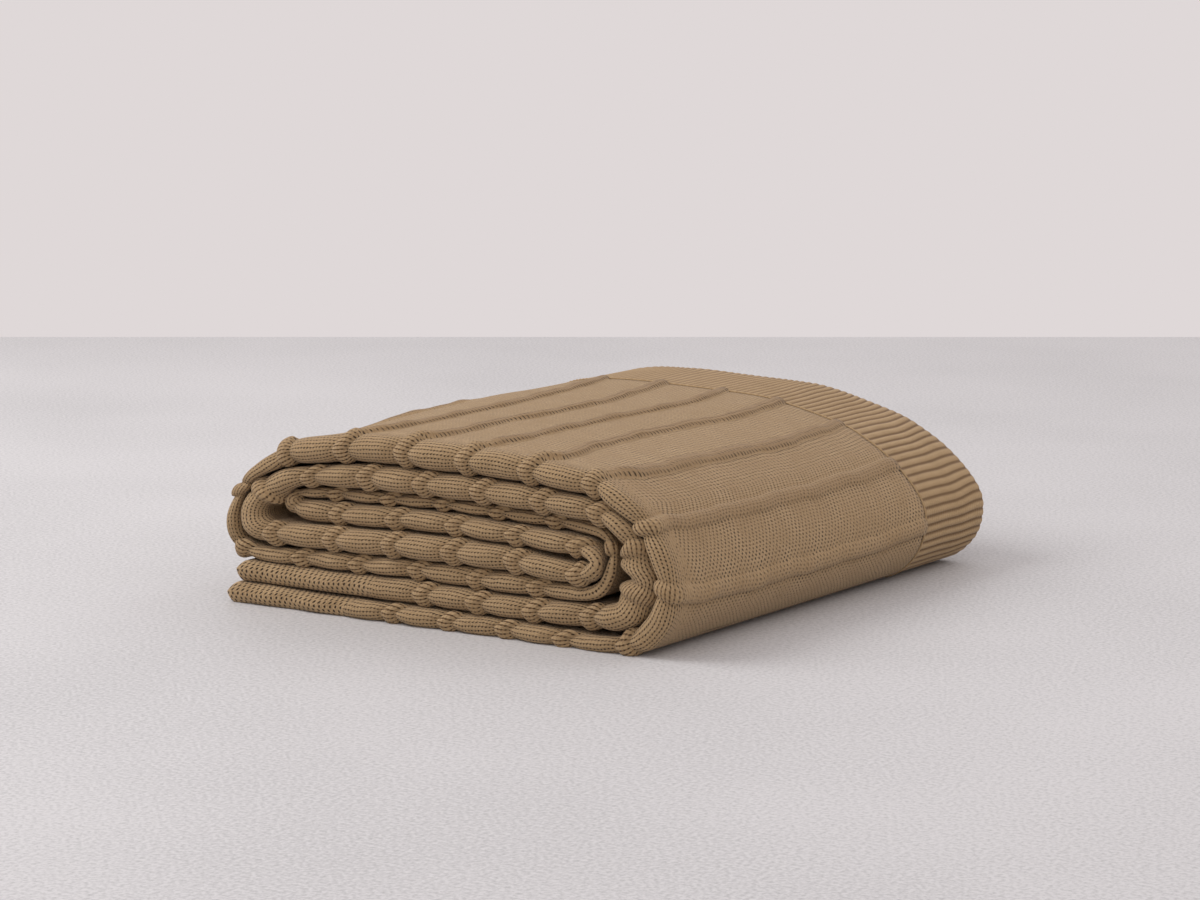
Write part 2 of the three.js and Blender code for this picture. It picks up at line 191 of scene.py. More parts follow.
def jerseyMaterial():
    material, tree, shader = newMaterial("combedCottonJersey")
    place = addNode(tree, "UVMap", uv_map="knit")
    # the last mark is the painted shade on the welts of the heap's outside
    bend, welt, moss, foot, ring, ridgeShade = (
        addNode(tree, "Attribute", output="Fac", attribute_name=mark)
        for mark in ("bend", "welt", "moss", "foot", "ring", "ridgeShade"))
    length, reach = jersey["stray"]
    wander = addNode(tree, "TexNoise", {"Vector": place, "Scale": 1 / (length * mm), "Detail": 2.0},
                     output="Color")
    centred = addNode(tree, "VectorMath", {0: wander, 1: (0.5, 0.5, 0.5)}, operation="SUBTRACT")
    shift = addNode(tree, "VectorMath", {0: centred, "Scale": reach * mm}, operation="SCALE")
    moved = addNode(tree, "VectorMath", {0: place, 1: shift}, operation="ADD")
    perMetre = (1 / (jersey["stitch"] * mm), 1 / (jersey["wale"] * mm), 0)
    cells = addNode(tree, "VectorMath", {0: moved, 1: perMetre}, operation="MULTIPLY")
    along = addNode(tree, "SeparateXYZ", {0: cells}, output="X")
    across = addNode(tree, "SeparateXYZ", {0: cells}, output="Y")

    # holes lie in lines along the cloth, each line a little further on than the last, and differ in
    # size
    slanted = addNode(tree, "Math", {0: across, 1: jersey["slant"], 2: along},
                      operation="MULTIPLY_ADD")
    acrossWave = waveOf(tree, across)
    folded = addNode(tree, "Math", {0: acrossWave, 1: jersey["waleShare"],
                                    2: waveOf(tree, slanted)}, operation="MULTIPLY_ADD")
    flatAcross = addNode(tree, "Math", {0: across, 1: jersey["wale"] / jersey["flatWale"]},
                         operation="MULTIPLY")
    otherWay = addNode(tree, "Math", {0: along, 1: jersey["stitch"] / jersey["flatStitch"],
                                      2: flatAcross}, operation="MULTIPLY_ADD")
    down = addNode(tree, "Math", {0: along, 1: jersey["flatFrom"] / jersey["stitch"]},
                   operation="SUBTRACT")
    down = addNode(tree, "Math", {0: down, 1: 0.0}, operation="MAXIMUM")
    firstWay = addNode(tree, "Math", {0: down, 1: -jersey["stitch"] / jersey["flatLean"],
                                      2: flatAcross}, operation="MULTIPLY_ADD")
    flat = addNode(tree, "Math", {0: waveOf(tree, firstWay), 1: waveOf(tree, otherWay)},
                   operation="ADD")
    both = addNode(tree, "Mix", {"Factor": bend, 2: flat, 3: folded}, data_type="FLOAT")
    mottle = addNode(tree, "TexNoise", {"Vector": place, "Scale": 1 / (jersey["mottle"] * mm),
                                        "Detail": 1.0})
    lineScale = addNode(tree, "VectorMath", {0: cells, 1: jersey["lineMottle"]},
                        operation="MULTIPLY")
    lineMottle = addNode(tree, "TexNoise", {"Vector": lineScale, "Scale": 1.0, "Detail": 2.0})
    start = addNode(tree, "MapRange", {"Value": bend, "To Min": jersey["holeStart"][0],
                                       "To Max": jersey["holeStart"][1]})
    for mark, name in ((mottle, "mottle"), (lineMottle, "line"), (foot, "foot")):
        start = addNode(tree, "Math", {0: mark, 1: jersey["wider"][name], 2: start},
                        operation="MULTIPLY_ADD")
    over = addNode(tree, "Math", {0: both, 1: start}, operation="SUBTRACT")
    low, high = jersey["holeEdge"]
    hole = addNode(tree, "MapRange", {"Value": over, "From Min": low, "From Max": high},
                   interpolation_type="SMOOTHSTEP")

    # moss stitch: the holes of every second line stand half a stitch on
    mossAlong = addNode(tree, "Math", {0: along, 1: jersey["stitch"] / jersey["mossStitch"]},
                        operation="MULTIPLY")
    mossAcross = addNode(tree, "Math", {0: across, 1: jersey["wale"] / jersey["mossWale"]},
                         operation="MULTIPLY")
    lattice = addNode(tree, "Math", {0: waveOf(tree, mossAlong), 1: waveOf(tree, mossAcross)},
                      operation="MULTIPLY")
    low, high = jersey["mossEdge"]
    mossHole = addNode(tree, "MapRange", {"Value": lattice, "From Min": low, "From Max": high},
                       interpolation_type="SMOOTHSTEP")
    hole = addNode(tree, "Mix", {"Factor": moss, 2: hole, 3: mossHole}, data_type="FLOAT")

    # grooves between the lines, none in moss stitch: painted shade in the colour, and sunk in the
    # relief
    low, high = jersey["grooveEdge"]
    groove = addNode(tree, "MapRange", {"Value": acrossWave, "From Min": low, "From Max": high},
                     interpolation_type="SMOOTHSTEP")
    plain = addNode(tree, "Math", {0: 1.0, 1: moss}, operation="SUBTRACT")
    groove = addNode(tree, "Math", {0: groove, 1: plain}, operation="MULTIPLY")

    # legs of the loops lean toward the middle of their line
    lean = addNode(tree, "Math", {0: across, 1: 0.5}, operation="PINGPONG")
    leg = addNode(tree, "Math", {0: lean, 1: jersey["legLean"], 2: along}, operation="MULTIPLY_ADD")
    legWave = waveOf(tree, leg)

    # colour: yarn a little uneven, painted shade between the lines where the cloth bends, most of
    # all over a welt, painted shade on the outside welts too, and the darkest painted shade in the
    # holes
    patches, fibres, tone = cottonTone(tree, place)
    yarn = tonedColour(tree, tone, jersey)
    low, high, least, most = jersey["linePatches"]
    lines = addNode(tree, "MapRange", {"Value": patches, "From Min": low, "From Max": high,
                                       "To Min": least, "To Max": most})
    lines = addNode(tree, "Math", {0: lines, 1: bend}, operation="MULTIPLY")
    depth = addNode(tree, "Math", {0: ring, 1: jersey["ringShade"], 2: lines},
                    operation="MULTIPLY_ADD")
    shade = addNode(tree, "Math", {0: groove, 1: depth}, operation="MULTIPLY")
    # painted shade on the welts of the heap's outside, patchy
    patchyRidgeShade = addNode(tree, "Math", {0: ridgeShade, 1: patches}, operation="MULTIPLY")
    shade = addNode(tree, "Math", {0: patchyRidgeShade, 1: jersey["ridgeShadeShare"], 2: shade},
                    operation="MULTIPLY_ADD")
    grooved = addNode(tree, "Mix", {"Factor": shade, 6: yarn, 7: linearColour(jersey["groove"])},
                      output=2, data_type="RGBA")
    # the holes' painted shade: patchy on flat cloth, full in bends and moss stitch, weaker on a
    # welt
    low, high, least, most = jersey["holeShadePatches"]
    patchyHoleShade = addNode(tree, "MapRange", {"Value": patches, "From Min": low, "From Max": high,
                                      "To Min": least, "To Max": most})
    strength = addNode(tree, "Mix", {"Factor": bend, 2: patchyHoleShade, 3: jersey["bendHole"]},
                       data_type="FLOAT")
    strength = addNode(tree, "Math", {0: strength, 1: moss}, operation="MAXIMUM")
    kept = addNode(tree, "MapRange", {"Value": welt, "To Min": 1.0, "To Max": jersey["weltHole"]})
    strength = addNode(tree, "Math", {0: strength, 1: kept}, operation="MULTIPLY")
    dark = addNode(tree, "Math", {0: hole, 1: strength}, operation="MULTIPLY")
    coloured = addNode(tree, "Mix", {"Factor": dark, 6: grooved, 7: linearColour(jersey["hole"])},
                       output=2, data_type="RGBA")

    # relief: grooves in the bends and holes lie deep, legs and fibres stand out
    height = addNode(tree, "Math", {0: groove, 1: bend}, operation="MULTIPLY")
    height = addNode(tree, "Math", {0: height, 1: jersey["heights"]["crease"]},
                     operation="MULTIPLY")
    for mark, name in ((hole, "hole"), (legWave, "leg"), (fibres, "fibre")):
        height = addNode(tree, "Math", {0: mark, 1: jersey["heights"][name], 2: height},
                         operation="MULTIPLY_ADD")
    finishMaterial(tree, shader, coloured, height, jersey)
    print("jersey material made")
    return material


# The cotton knitted as a one by one rib: round ridges across the band, with deep grooves between
# one and the next, and painted shade in the grooves
ribbing = {
    "stitch": 2.4,
    "lean": 0.6,  # stitches by which one leans from the groove to the crest
    "stitchTone": 0.06,
    "stitchHeight": 0.25,
    "tones": (0.55, 1.05),
    # painted shade in the grooves between the ribs
    "valleyEdge": (0.8, 0.05, 0.9),  # crest where the groove's colour starts and is full, how full
    "relief": (0.5, 0.7),
    "darker": "#9c825e",
    "lighter": "#ae936f",
    # painted shade: colour of the shade in the grooves
    "groove": "#6a5136",
    "surface": cotton["surface"],
}


def ribMaterial():
    material, tree, shader = newMaterial("combedCottonRib")
    place = addNode(tree, "UVMap", uv_map="knit")
    crest = addNode(tree, "Attribute", output="Fac", attribute_name="crest")
    down = addNode(tree, "SeparateXYZ", {0: place}, output="Y")
    count = addNode(tree, "Math", {0: down, 1: 1 / (ribbing["stitch"] * mm)}, operation="MULTIPLY")
    leaning = addNode(tree, "Math", {0: crest, 1: ribbing["lean"], 2: count},
                      operation="MULTIPLY_ADD")
    stitch = waveOf(tree, leaning)
    patches, fibres, tone = cottonTone(tree, place)
    tone = addNode(tree, "Math", {0: stitch, 1: ribbing["stitchTone"], 2: tone},
                   operation="MULTIPLY_ADD")
    yarn = tonedColour(tree, tone, ribbing)
    # painted shade in the grooves, read from the crest mark
    low, high, most = ribbing["valleyEdge"]
    valley = addNode(tree, "MapRange", {"Value": crest, "From Min": low, "From Max": high,
                                        "To Max": most}, interpolation_type="SMOOTHSTEP")
    coloured = addNode(tree, "Mix", {"Factor": valley, 6: yarn, 7: linearColour(ribbing["groove"])},
                       output=2, data_type="RGBA")
    height = addNode(tree, "Math", {0: stitch, 1: ribbing["stitchHeight"], 2: fibres},
                     operation="MULTIPLY_ADD")
    finishMaterial(tree, shader, coloured, height, ribbing)
    print("rib material made")
    return material


# Power-floated concrete with a clear sealer: pale, finely grained, with a soft broad gloss
stage = {
    "darker": "#a6a6a7",
    "lighter": "#cdcccd",
    "wall": "#dfd8d8",
    "grit": 2.381,  # real grit is finer, and this is as coarse as it needs to be to show
    "cloud": 333.33,  # size of the broad paler and darker patches
    "cloudShare": 0.3,
    "tones": (0.35, 0.75),
    "relief": (0.3, 0.6),
    "surface": {"Roughness": 0.6},
    "edge": 1.062,  # metres from the heap to the wall behind it
    "reach": 6.0,  # metres that the floor goes on to the sides and in front
}


def floorMaterial():
    material, tree, shader = newMaterial("sealedConcrete")
    place = addNode(tree, "TexCoord", output="Object")
    grain = addNode(tree, "TexNoise", {"Vector": place, "Scale": 1 / (stage["grit"] * mm),
                                       "Detail": 3.0, "Roughness": 0.6})
    clouds = addNode(tree, "TexNoise", {"Vector": place, "Scale": 1 / (stage["cloud"] * mm),
                                        "Detail": 5.0})
    mixed = addNode(tree, "Math", {0: clouds, 1: stage["cloudShare"], 2: grain},
                    operation="MULTIPLY_ADD")
    finishMaterial(tree, shader, tonedColour(tree, mixed, stage), grain, stage)
    return material


# The floor ends behind the heap, square to the camera's line of sight, where the pale wall begins
def makeFloor():
    azimuth = math.radians(view["azimuth"])
    away = Vector((-math.sin(azimuth), math.cos(azimuth), 0))
    side = Vector((math.cos(azimuth), math.sin(azimuth), 0)) * stage["reach"]
    middle = Vector((view["target"][0], view["target"][1], 0))
    far = middle + away * stage["edge"]
    near = middle - away * stage["reach"]
    mesh = bpy.data.meshes.new("floor")
    mesh.from_pydata([near - side, near + side, far + side, far - side], [], [(0, 1, 2, 3)])
    mesh.materials.append(floorMaterial())
    floor = bpy.data.objects.new("floor", mesh)
    bpy.context.scene.collection.objects.link(floor)
    print("floor made")
    return floor


# Large soft lamps, in metres and watts, all aimed at the heap's middle
lamps = [
    {"name": "keyLight", "place": (-1.5, -0.9, 1.7), "size": 1.6, "power": 31},
    {"name": "fillLight", "place": (1.0, -2.1, 1.9), "size": 2.4, "power": 6},
    {"name": "sideLight", "place": (1.6, 1.9, 1.9), "size": 2.0, "power": 15},
]
lampAim = Vector((0, 0, 0.05))


def makeLights():
    world = bpy.data.worlds.new("paleWall")
    bpy.context.scene.world = world
    world.use_nodes = True
    background = world.node_tree.nodes["Background"]
    background.inputs["Color"].default_value = linearColour(stage["wall"])
    background.inputs["Strength"].default_value = 1.0
    for lamp in lamps:
        data = bpy.data.lights.new(lamp["name"], "AREA")
        data.shape = "DISK"
        data.size = lamp["size"]
        data.energy = lamp["power"]
        light = bpy.data.objects.new(lamp["name"], data)
        light.location = lamp["place"]
        light.rotation_mode = "QUATERNION"
        light.rotation_quaternion = (lampAim - light.location).to_track_quat("-Z", "Y")
        bpy.context.scene.collection.objects.link(light)
    bpy.context.scene.view_settings.view_transform = "Standard"
    print("lights placed")


# How the cloth runs: eight layers of doubled cloth, folded back and forth and wrapped round
# one another
cloth = {
    "boxMiddle": (8.355, 6.018),  # X and Y of the heap's middle, in the tables' own places
    "ply": 5.2,
    "plyShare": 0.42,  # the most that one ply takes of a layer's thickness
    "band": 80,
    "seamGap": 0.4,
    "front": -185,
    "back": 185,
    "noseShare": 0.58,  # depth of the front fold's rounding, in thicknesses
    "rest": -40,  # depth behind which a layer inside the heap is quite flat
    "plainEnds": 112,  # no welts so near the cloth's ends
    "openHeight": 8,  # an outer fold lies open above this
    "tipReach": 7,
    "tipPowers": (0.8, 0.45),
    "tipTurns": (35, 60, 78),
    "cornerRadius": 9,  # of the back corners at the cloth's ends
    "frontRadius": 2.5,
    "sinkLeft": 0.4,  # how much the top sinks toward the back: all of it, from mid-left, and right
    "sink": 2.2,
    "sinkLimits": (-90, -20),
    "sinkRight": 9.5,
    "sinkRightLimits": (40, 125),
    "spread": 13,  # how far the right side swells out at the back
    "spreadLimits": (60, 145),
    "spreadHeights": (45, 95),
    "edgeWaves": ((-130, 50, 3.4), (25, 35, -1.2)),  # in the top's left edge: depth, reach and drop
    "edgeLimits": (-100, -60),
    "edgeHeights": (80, 95),
    "pile": 110,  # height that sinks by all of it
}

# under and over are the heights of a layer's faces at its left end, quarters and right end. front,
# back and askew are pairs, for its left and right ends. welt is the x of one welt and pitch how far
# apart they are.
layers = [
    {"heading": 1, "ends": (-144.5, 112), "front": (4, 1), "back": (184, 182), "askew": (0, 0),
     "under": (13.2, 12.7, 12.6, 11.9, 12.2), "over": (26, 25.3, 26.3, 24.8, 26.6),
     "welt": 27.3, "pitch": 39.4},
    {"heading": -1, "ends": (-108, 108), "front": (0, 0), "back": (192, 190), "askew": (0, 0),
     "under": (74.6, 77.7, 78, 77, 74), "over": (87, 92.7, 92.6, 91.4, 87.6),
     "welt": 29, "pitch": 42},
    {"heading": 1, "ends": (-126, 98), "front": (3, 2), "back": (190, 188), "askew": (0, 0),
     "under": (38.3, 38.6, 39.4, 39.6, 37.4), "over": (52.3, 53.2, 54.6, 54.4, 49.6),
     "welt": 9, "pitch": 44.5},
    {"heading": -1, "ends": (-104, 98), "front": (-3, 0), "back": (186, 184), "askew": (0, 0),
     "under": (54.4, 55, 56.6, 55.6, 53.5), "over": (66.6, 67.6, 68.6, 67, 64.8),
     "welt": 9, "pitch": 43.8},
    {"heading": 1, "ends": (-102, 106), "front": (-8, -8), "back": (184, 186), "askew": (0, 0),
     "under": (68.1, 69.1, 70.1, 68.4, 66), "over": (73.6, 76, 76.3, 75.3, 72.4),
     "welt": -4, "pitch": 40},
    {"heading": -1, "ends": (-142, 104), "front": (1, -2), "back": (186, 184), "askew": (0, 0),
     "under": (27.4, 26.7, 27.7, 26.2, 28.3), "over": (36.6, 37, 37.9, 38.2, 36),
     "welt": 24.7, "pitch": 43.2},
    {"heading": 1, "ends": (-112, 112), "front": (0, 0), "back": (206, 194), "askew": (20, 6),
     "under": (88.5, 94.2, 93.8, 92.9, 88.6), "over": (104, 111, 111, 108.5, 101.5),
     "welt": 18, "pitch": 44.7},
    {"heading": -1, "ends": (-149, 128), "front": (8, 2), "back": (176, 172), "askew": (0, 0),
     "under": (0, 0, 0, 0, 0), "over": (12.6, 11.3, 11.3, 10.5, 10),
     "welt": 48.5, "pitch": 40.7},
]

# Folds from each layer to the next: x and z of the outer and the inner face, the welts' places
# along it as shares of its length, whether it turns left, and whether its left face is the heap's
# own outside
folds = [
    {"outer": [(128, 13.2), (141, 19), (149.5, 29), (152, 42), (150, 54), (143.5, 66), (132, 77.5),
               (120, 84.6)],
     "inner": [(120, 27.4), (126.5, 30), (125, 37), (134, 45.2), (125.4, 52), (130, 60),
               (128.5, 67), (119, 72)],
     "welts": (0.36, 0.64, 0.97), "turnsLeft": True, "open": False},
    {"outer": [(-126, 81.5), (-137.5, 75), (-146, 66), (-150, 55.5), (-148.5, 45.5), (-140, 39.6)],
     "inner": [(-116, 69.8), (-124.8, 66.8), (-130.2, 62.3), (-132, 58), (-130.6, 54.9),
               (-127.6, 53)],
     "welts": (0.4,), "turnsLeft": True, "open": False},
    {"outer": [(107, 38.6), (113.8, 43), (116.6, 50), (115, 57.3), (108.5, 62.8)],
     "inner": [(103, 50.2), (108, 50.8), (111, 52), (108, 53.2), (103, 53.5)],
     "welts": (), "turnsLeft": True, "open": False},
    {"outer": [(-112, 57), (-117.5, 62), (-116.5, 68), (-110, 71.8)],
     "inner": [(-107, 66.7), (-108, 67.1), (-108, 67.6), (-106.5, 67.9)],
     "welts": (0.5,), "turnsLeft": False, "open": False},
    {"outer": [(114.5, 70), (121, 63), (123.2, 52), (121, 41), (115.5, 32.6)],
     "inner": [(112, 65), (117.3, 59.4), (118.2, 50.5), (115.5, 42), (109.5, 37.3)],
     "welts": (0.3,), "turnsLeft": False, "open": False},
    {"outer": [(-152, 29.5), (-158.5, 36.5), (-161, 48), (-158.5, 61), (-150.5, 75), (-138.5, 85.5),
               (-125.5, 95.5)],
     "inner": [(-148.6, 40.2), (-151.2, 46.7), (-151.7, 55), (-148.6, 65), (-140.5, 74.6),
               (-130.2, 81.4), (-120.3, 85.4)],
     "welts": (0.08, 0.5, 0.965), "turnsLeft": False, "open": True},
    {"outer": [(128, 94.5), (143, 84.5), (155.5, 70), (163.5, 54.5), (166, 38.5), (162, 20),
               (150, 5.5), (138, 0.6)],
     "inner": [(121, 85.9), (133.5, 78.3), (144.9, 66.8), (151.8, 54), (153.4, 42), (150.9, 28.3),
               (142.3, 17.8), (134, 13.4)],
     "welts": (0.3, 0.6, 0.965), "turnsLeft": False, "open": True},
]


def smooth(low, high, value):  # 0 to 1 from low to high, easing in and out
    t = np.clip((value - low) / (high - low), 0, 1)
    return t * t * (3 - 2 * t)


def hump(value, middle, reach):  # bell: 1 at the middle, fading to both sides
    return np.exp(-(((value - middle) / reach) ** 2))


# Sine of a place, with its length for each radian, whose phase drifts by a longer sine
def wave(place, height, length, start=0, drift=0, driftLength=1):
    return height * np.sin(place / length + drift * np.sin(place / driftLength) + start)


# Rows of the run, one for each knot: left face x and z, right face x and z, front, back, askew and
# open. A layer's knots lie evenly from its left end to its right one.
def layerKnots(layer):
    share = np.linspace(0, 1, len(layer["under"]))
    x = layer["ends"][0] + share * (layer["ends"][1] - layer["ends"][0])
    over = np.stack([x, layer["over"]], 1)
    under = np.stack([x, layer["under"]], 1)
    left, right = (over, under) if layer["heading"] > 0 else (under, over)
    edges = [layer[key][0] + share * (layer[key][1] - layer[key][0])
             for key in ("front", "back", "askew")]
    shown = np.full((len(x), 1), 1.0 if layer["askew"][0] > 0 else 0.0)
    rows = np.hstack([left, right, np.stack(edges, 1), shown])
    return rows if layer["heading"] > 0 else rows[::-1]


# A fold's own points, with the edges' depths going evenly from the layer before it to the one after
def foldKnots(fold, before, after):
    outer, inner = np.array(fold["outer"], float), np.array(fold["inner"], float)
    left, right = (inner, outer) if fold["turnsLeft"] else (outer, inner)
    share = (np.arange(len(outer))[:, None] + 1) / (len(outer) + 1)
    pairs = before[4:7] + share * (after[4:7] - before[4:7])
    shown = np.where(fold["open"] & (outer[:, 1:] > cloth["openHeight"]), 1.0, 0.0)
    return np.hstack([left, right, pairs, shown])


# The cloth's end is rounded off between the two faces of its last knot: it goes outward with a
# power of the turn's sine, while the thickness shrinks with a power of its cosine
def tipKnots(end):
    turn = np.radians(cloth["tipTurns"])
    middle = (end[1] + end[3]) / 2
    half = (end[1] - end[3]) / 2
    x = end[0] - cloth["tipReach"] * np.sin(turn) ** cloth["tipPowers"][0]
    high = half * np.cos(turn) ** cloth["tipPowers"][1]
    rows = np.stack([x, middle + high, x, middle - high], 1)
    edges = np.tile([end[4], end[5], 0, 0], (len(turn), 1))
    return np.hstack([rows, edges])


def threadRun():  # all knots in order, and for each layer and fold its first and last knot
    runs = [layerKnots(layer) for layer in layers]
    parts = [tipKnots(runs[0][0])[::-1]]
    count = len(parts[0])
    spans = []
    for i, run in enumerate(runs):
        spans.append((layers[i], count, count + len(run) - 1))
        parts.append(run)
        count += len(run)
        if i < len(folds):
            bend = foldKnots(folds[i], run[-1], runs[i + 1][0])
            spans.append((folds[i], count - 1, count + len(bend)))
            parts.append(bend)
            count += len(bend)
    parts.append(tipKnots(parts[-1][-1]))
    return np.vstack(parts), spans


# Smooth curve through points: each stretch is a cubic whose end slopes come from the square roots
# of the distances to the neighbouring points, so that it neither loops nor overshoots where they
# lie close
def curveThrough(points):
    tiny = 1e-4
    p = np.vstack([2 * points[0] - points[1], points, 2 * points[-1] - points[-2]])
    d = np.sum(np.diff(p, axis=0) ** 2, 1) ** 0.25
    d1 = np.where(d[1:-1] < tiny, 1.0, d[1:-1])[:, None]
    d0 = np.where(d[:-2, None] < tiny, d1, d[:-2, None])
    d2 = np.where(d[2:, None] < tiny, d1, d[2:, None])
    a, b, c, e = p[:-3], p[1:-2], p[2:-1], p[3:]
    t1 = ((b - a) / d0 - (c - a) / (d0 + d1) + (c - b) / d1) * d1
    t2 = ((c - b) / d1 - (e - b) / (d1 + d2) + (e - c) / d2) * d1

    def at(share):
        place = np.clip(share, 0, 1) * (len(points) - 1)
        i = np.minimum(place.astype(int), len(points) - 2)
        w = (place - i)[..., None]
        cubic = 2 * (b - c) + t1 + t2
        square = 3 * (c - b) - 2 * t1 - t2
        return ((cubic[i] * w + square[i]) * w + t1[i]) * w + b[i]
    return at


knots, spans = threadRun()
leftFace = curveThrough(knots[:, 0:2])
rightFace = curveThrough(knots[:, 2:4])
edgeLines = curveThrough(knots[:, 4:7])
finePlaces = np.linspace(0, 1, 4001)
middleLine = curveThrough((knots[:, 0:2] + knots[:, 2:4]) / 2)(finePlaces)
lengthTo = np.concatenate([[0], np.cumsum(np.hypot(*np.diff(middleLine, axis=0).T))])
runLength = lengthTo[-1]
print("run", round(runLength, 1), "mm")


def distanceOf(knot):
    return np.interp(knot / (len(knots) - 1), finePlaces, lengthTo)


foldSpans = [(distanceOf(first), distanceOf(last)) for row, first, last in spans if "welts" in row]
tightFold = foldSpans[1]  # the left one after the second layer
outside = foldSpans[5][0], foldSpans[6][1]  # the left side, the top and the right side of the heap


def weltCentres():
    centres = []
    for row, first, last in spans:
        start, end = distanceOf(first), distanceOf(last)
        if "welts" in row:
            shares = np.array(row["welts"])
        else:
            left, right = row["ends"]
            steps = np.arange(np.ceil((left - row["welt"]) / row["pitch"]),
                              np.floor((right - row["welt"]) / row["pitch"]) + 1)
            shares = (row["welt"] + steps * row["pitch"] - left) / (right - left)
            shares = shares if row["heading"] > 0 else 1 - shares
        centres.extend(start + (end - start) * shares)
    centres = np.sort(centres)
    return centres[(centres > cloth["plainEnds"]) & (centres < runLength - cloth["plainEnds"])]


welts = weltCentres()
print(len(welts), "welts")


def fromWelt(distance):  # signed distance to the nearest welt
    i = np.clip(np.searchsorted(welts, distance), 1, len(welts) - 1)
    nearer = np.where(distance - welts[i - 1] < welts[i] - distance, i - 1, i)
    return distance - welts[nearer]


def slide(distance, y):  # a layer that lies askew has slid along itself toward the back
    askew = edgeLines(np.interp(distance, lengthTo, finePlaces))[..., 2]
    share = (y - cloth["front"]) / (cloth["back"] - cloth["front"])
    return np.clip(distance - askew * share, 0, runLength)


# How far a rounded corner draws an edge back, so far from the cloth's end: a quarter circle
def cornerOf(radius, toEnd):
    past = np.clip(radius - toEnd, 0, None)
    return radius - np.sqrt(radius ** 2 - past ** 2)


# Section of the doubled cloth at a distance along the run: its left face, the unit vector across it
# to that face, its thickness, the depths of its front fold, seam and back edge, and whether its
# left face is open
def sectionAt(distance):
    share = np.interp(distance, lengthTo, finePlaces)
    left, right = leftFace(share), rightFace(share)
    across = left - right
    thick = np.hypot(across[..., 0], across[..., 1])
    edges = edgeLines(share)
    toEnd = np.minimum(distance, runLength - distance)
    shown = np.interp(share * (len(knots) - 1), np.arange(len(knots)), knots[:, 7])
    return {"left": left, "across": across / thick[..., None], "thick": thick,
            "front": edges[..., 0] - cornerOf(cloth["frontRadius"], toEnd),
            "seam": edges[..., 1] - cloth["band"],
            "back": edges[..., 1] - cornerOf(cloth["cornerRadius"], toEnd), "open": shown}


# The top sinks toward the back, the more so at the right, where the sides swell, and its left edge
# dips: each shift grows in a straight line from the front to the back and eases in and out across
# the heap
def settle(points):
    x, y, z = points[..., 0], points[..., 1], points[..., 2]
    share = (y - cloth["front"]) / (cloth["back"] - cloth["front"])
    slope = cloth["sinkLeft"] + cloth["sink"] * smooth(*cloth["sinkLimits"], x)
    slope = slope + cloth["sinkRight"] * smooth(*cloth["sinkRightLimits"], x)
    swell = cloth["spread"] * smooth(*cloth["spreadLimits"], x)
    swell = swell * (1 - smooth(*cloth["spreadHeights"], z))
    dip = sum(drop * hump(y, depth, reach) for depth, reach, drop in cloth["edgeWaves"])
    dip = dip * (1 - smooth(*cloth["edgeLimits"], x)) * smooth(*cloth["edgeHeights"], z)
    settled = points.copy()
    settled[..., 0] = x + swell * share
    settled[..., 2] = np.maximum(0, z - slope * z / cloth["pile"] * share - dip)
    return settled


def plyOf(thick):  # one ply is as thick everywhere, but no more than its share of the layer
    return np.minimum(cloth["ply"], cloth["plyShare"] * thick)


# Point of the cloth: the left face's point at this distance along the run, moved inward along the
# section by insetOf the local thickness and outward by lift, at depth y, and then settled
def clothPoints(distance, y, insetOf, lift):
    section = sectionAt(slide(distance, y))
    flat = section["left"] + section["across"] * (lift - insetOf(section["thick"]))[..., None]
    return settle(np.stack([flat[..., 0], y, flat[..., 1]], -1))


def onLeftFace(thick):  # insets of the two faces, for clothPoints
    return 0 * thick


def onRightFace(thick):
    return thick


# Stations along the run: one over the step is added up along it, and they lie where that sum is
# whole
def stationsBy(stepOf):
    s = np.linspace(0, runLength, 40001)
    count = np.concatenate([[0], np.cumsum(np.diff(s) / stepOf((s[1:] + s[:-1]) / 2))])
    return np.interp(np.linspace(0, count[-1], int(count[-1])), count, s)


def inFold(distance):
    return np.any([(distance > start) & (distance < end) for start, end in foldSpans], axis=0)


def ringFaces(stations, ring, wanted):  # quads between neighbouring stations, round the wanted rows
    j0 = np.array(wanted)
    j1 = np.roll(j0, -1)
    i = np.array(stations)[:, None]
    corners = [i * ring + j0, i * ring + j1, (i + 1) * ring + j1, (i + 1) * ring + j0]
    return np.stack(corners, -1).reshape(-1, 4)


def makePiece(name, points, faces, uv, marks, material):
    used = np.unique(np.concatenate([np.ravel(f) for f in faces]))
    place = np.zeros(len(points), int)
    place[used] = np.arange(len(used))
    mesh = bpy.data.meshes.new(name)
    lists = [row for f in faces for row in place[np.array(f)].tolist()]
    middle = np.array([*cloth["boxMiddle"], 0])
    mesh.from_pydata(((points[used] - middle) * mm).tolist(), [], lists)
    corners = np.zeros(len(mesh.loops), np.int32)
    mesh.loops.foreach_get("vertex_index", corners)
    mesh.uv_layers.new(name="knit").data.foreach_set("uv", (uv[used][corners] * mm).ravel())
    for mark, values in marks.items():
        mesh.attributes.new(mark, "FLOAT", "POINT").data.foreach_set("value", values.ravel()[used])
    mesh.polygons.foreach_set("use_smooth", np.ones(len(mesh.polygons), bool))
    mesh.materials.append(material)
    mesh.update()
    piece = bpy.data.objects.new(name, mesh)
    bpy.context.scene.collection.objects.link(piece)
    mesh.calc_loop_triangles()
    print(name, len(mesh.loop_triangles), "triangles")
    return piece


